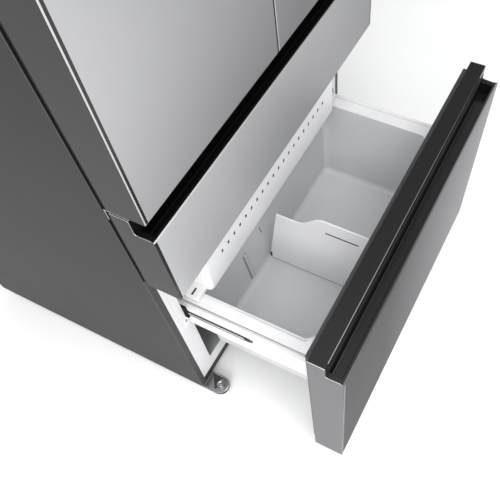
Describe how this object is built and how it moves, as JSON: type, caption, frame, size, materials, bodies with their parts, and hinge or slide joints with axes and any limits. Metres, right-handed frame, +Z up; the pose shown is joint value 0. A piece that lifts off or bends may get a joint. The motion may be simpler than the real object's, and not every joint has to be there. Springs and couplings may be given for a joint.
{
  "type": "french door refrigerator",
  "caption": "French door refrigerator with a shallow chiller drawer over a deep freezer drawer, which stands open on its slides and shows its basket, divider and sliding tray.",
  "frame": {"origin": "on the floor, under the middle of the box that holds the refrigerator with its freezer drawer open", "axes": "+Z up, -Y the way the fronts face and the drawers open, +X to the right of someone facing the fronts"},
  "size_m": [0.908, 1.218, 1.776],
  "materials": {
    "stainless": "satin",
    "cabinet_paint": "satin",
    "black_trim": "satin",
    "white_liner": "satin",
    "white_coated_steel": "satin",
    "clear_bin": "gloss",
    "seal_rubber": "matte",
    "zinc_plate": "satin",
    "chromed_slide": "polished",
    "insulation_foam": "matte",
    "shelf_glass": "polished",
    "compressor_paint": "satin"
  },
  "bodies": {
    "cabinet": {"cabinet_wrapper": "cabinet_paint", "back_panel": "zinc_plate", "machine_cover": "cabinet_paint", "base_deck": "cabinet_paint", "foam_core": "insulation_foam", "fridge_liner": "white_liner", "chiller_liner": "white_liner", "freezer_liner": "white_liner", "lower_cross_rail": "cabinet_paint", "upper_cross_rail": "cabinet_paint", "lower_rail_left": "black_trim", "lower_rail_right": "black_trim", "glass_shelf": "shelf_glass", "crisper_cover": "shelf_glass", "air_duct_panel": "white_liner", "ceiling_light": "clear_bin", "compressor": "compressor_paint", "power_inlet": "black_trim", "foot_bracket_left": "zinc_plate", "foot_bracket_right": "zinc_plate", "top_hinge_left": "zinc_plate", "top_hinge_right": "zinc_plate", "mid_hinge_left": "zinc_plate", "mid_hinge_right": "zinc_plate", "hinge_cover_left": "black_trim", "hinge_cover_right": "black_trim"},
    "left_door": {"left_door_skin": "stainless", "left_door_inner": "white_liner", "left_door_gasket": "seal_rubber", "left_door_bin_lower": "clear_bin", "left_door_bin_upper": "clear_bin"},
    "right_door": {"right_door_skin": "stainless", "right_door_inner": "white_liner", "right_door_gasket": "seal_rubber", "right_door_bin_lower": "clear_bin", "right_door_bin_upper": "clear_bin"},
    "mullion": {"mullion_flap": "seal_rubber"},
    "upper_drawer": {"upper_drawer_front": "stainless", "upper_drawer_grip_trim": "black_trim", "upper_drawer_inner_panel": "white_liner", "upper_drawer_gasket": "seal_rubber", "upper_drawer_bin": "clear_bin"},
    "upper_slide_l": {"upper_slide_left": "chromed_slide"},
    "upper_slide_r": {"upper_slide_right": "chromed_slide"},
    "lower_drawer": {"lower_drawer_front": "stainless", "lower_drawer_grip_trim": "black_trim", "lower_drawer_inner_panel": "white_liner", "lower_drawer_gasket": "seal_rubber", "lower_basket": "white_liner", "basket_frame": "white_coated_steel"},
    "divider": {"basket_divider": "white_liner"},
    "tray": {"sliding_tray": "white_liner"},
    "lower_slide_l": {"lower_slide_left": "chromed_slide"},
    "lower_slide_r": {"lower_slide_right": "chromed_slide"},
    "crisper_l": {"crisper_left": "clear_bin"},
    "crisper_r": {"crisper_right": "clear_bin"},
    "foot_l": {"levelling_foot_left": "zinc_plate"},
    "foot_r": {"levelling_foot_right": "zinc_plate"},
    "roller_l": {"rear_roller_left": "black_trim"},
    "roller_r": {"rear_roller_right": "black_trim"}
  },
  "joints": [
    {"name": "left_door_swing", "type": "hinge", "parent": "cabinet", "child": "left_door", "pos_m": [-0.441, -0.201, 0.881], "axis": [0, 0, -1], "range_deg": [0, 120]},
    {"name": "right_door_swing", "type": "hinge", "parent": "cabinet", "child": "right_door", "pos_m": [0.441, -0.201, 0.881], "axis": [0, 0, 1], "range_deg": [0, 120]},
    {"name": "mullion_fold", "type": "hinge", "parent": "left_door", "child": "mullion", "pos_m": [-0.048, -0.15275, 0.955], "axis": [0, 0, 1], "range_deg": [0, 90]},
    {"name": "upper_drawer_slide", "type": "slide", "parent": "cabinet", "child": "upper_drawer", "axis": [0, -1, 0], "range_m": [0, 0.4]},
    {"name": "upper_slide_left_run", "type": "slide", "parent": "cabinet", "child": "upper_slide_l", "axis": [0, -1, 0], "range_m": [0, 0.2]},
    {"name": "upper_slide_right_run", "type": "slide", "parent": "cabinet", "child": "upper_slide_r", "axis": [0, -1, 0], "range_m": [0, 0.2]},
    {"name": "lower_drawer_slide", "type": "slide", "parent": "cabinet", "child": "lower_drawer", "axis": [0, -1, 0], "range_m": [-0.358, 0.1]},
    {"name": "lower_slide_left_run", "type": "slide", "parent": "cabinet", "child": "lower_slide_l", "axis": [0, -1, 0], "range_m": [-0.179, 0.05]},
    {"name": "lower_slide_right_run", "type": "slide", "parent": "cabinet", "child": "lower_slide_r", "axis": [0, -1, 0], "range_m": [-0.179, 0.05]},
    {"name": "tray_slide", "type": "slide", "parent": "lower_drawer", "child": "tray", "axis": [0, -1, 0], "range_m": [0, 0.22]},
    {"name": "divider_slide", "type": "slide", "parent": "lower_drawer", "child": "divider", "axis": [1, 0, 0], "range_m": [-0.28, 0.34]},
    {"name": "crisper_left_slide", "type": "slide", "parent": "cabinet", "child": "crisper_l", "axis": [0, -1, 0], "range_m": [0, 0.03]},
    {"name": "crisper_right_slide", "type": "slide", "parent": "cabinet", "child": "crisper_r", "axis": [0, -1, 0], "range_m": [0, 0.03]},
    {"name": "foot_left_turn", "type": "hinge", "parent": "cabinet", "child": "foot_l", "pos_m": [-0.425, -0.203, 0], "axis": [0, 0, 1], "continuous": true},
    {"name": "foot_right_turn", "type": "hinge", "parent": "cabinet", "child": "foot_r", "pos_m": [0.425, -0.203, 0], "axis": [0, 0, 1], "continuous": true},
    {"name": "roller_left_spin", "type": "hinge", "parent": "cabinet", "child": "roller_l", "pos_m": [-0.38, 0.499, 0.015], "axis": [1, 0, 0], "continuous": true},
    {"name": "roller_right_spin", "type": "hinge", "parent": "cabinet", "child": "roller_r", "pos_m": [0.38, 0.499, 0.015], "axis": [1, 0, 0], "continuous": true}
  ],
  "couplings": [
    {"joint": "mullion_fold", "follows": "left_door_swing", "ratio": 0.75},
    {"joint": "upper_slide_left_run", "follows": "upper_drawer_slide", "ratio": 0.5},
    {"joint": "upper_slide_right_run", "follows": "upper_drawer_slide", "ratio": 0.5},
    {"joint": "lower_slide_left_run", "follows": "lower_drawer_slide", "ratio": 0.5},
    {"joint": "lower_slide_right_run", "follows": "lower_drawer_slide", "ratio": 0.5}
  ]
}
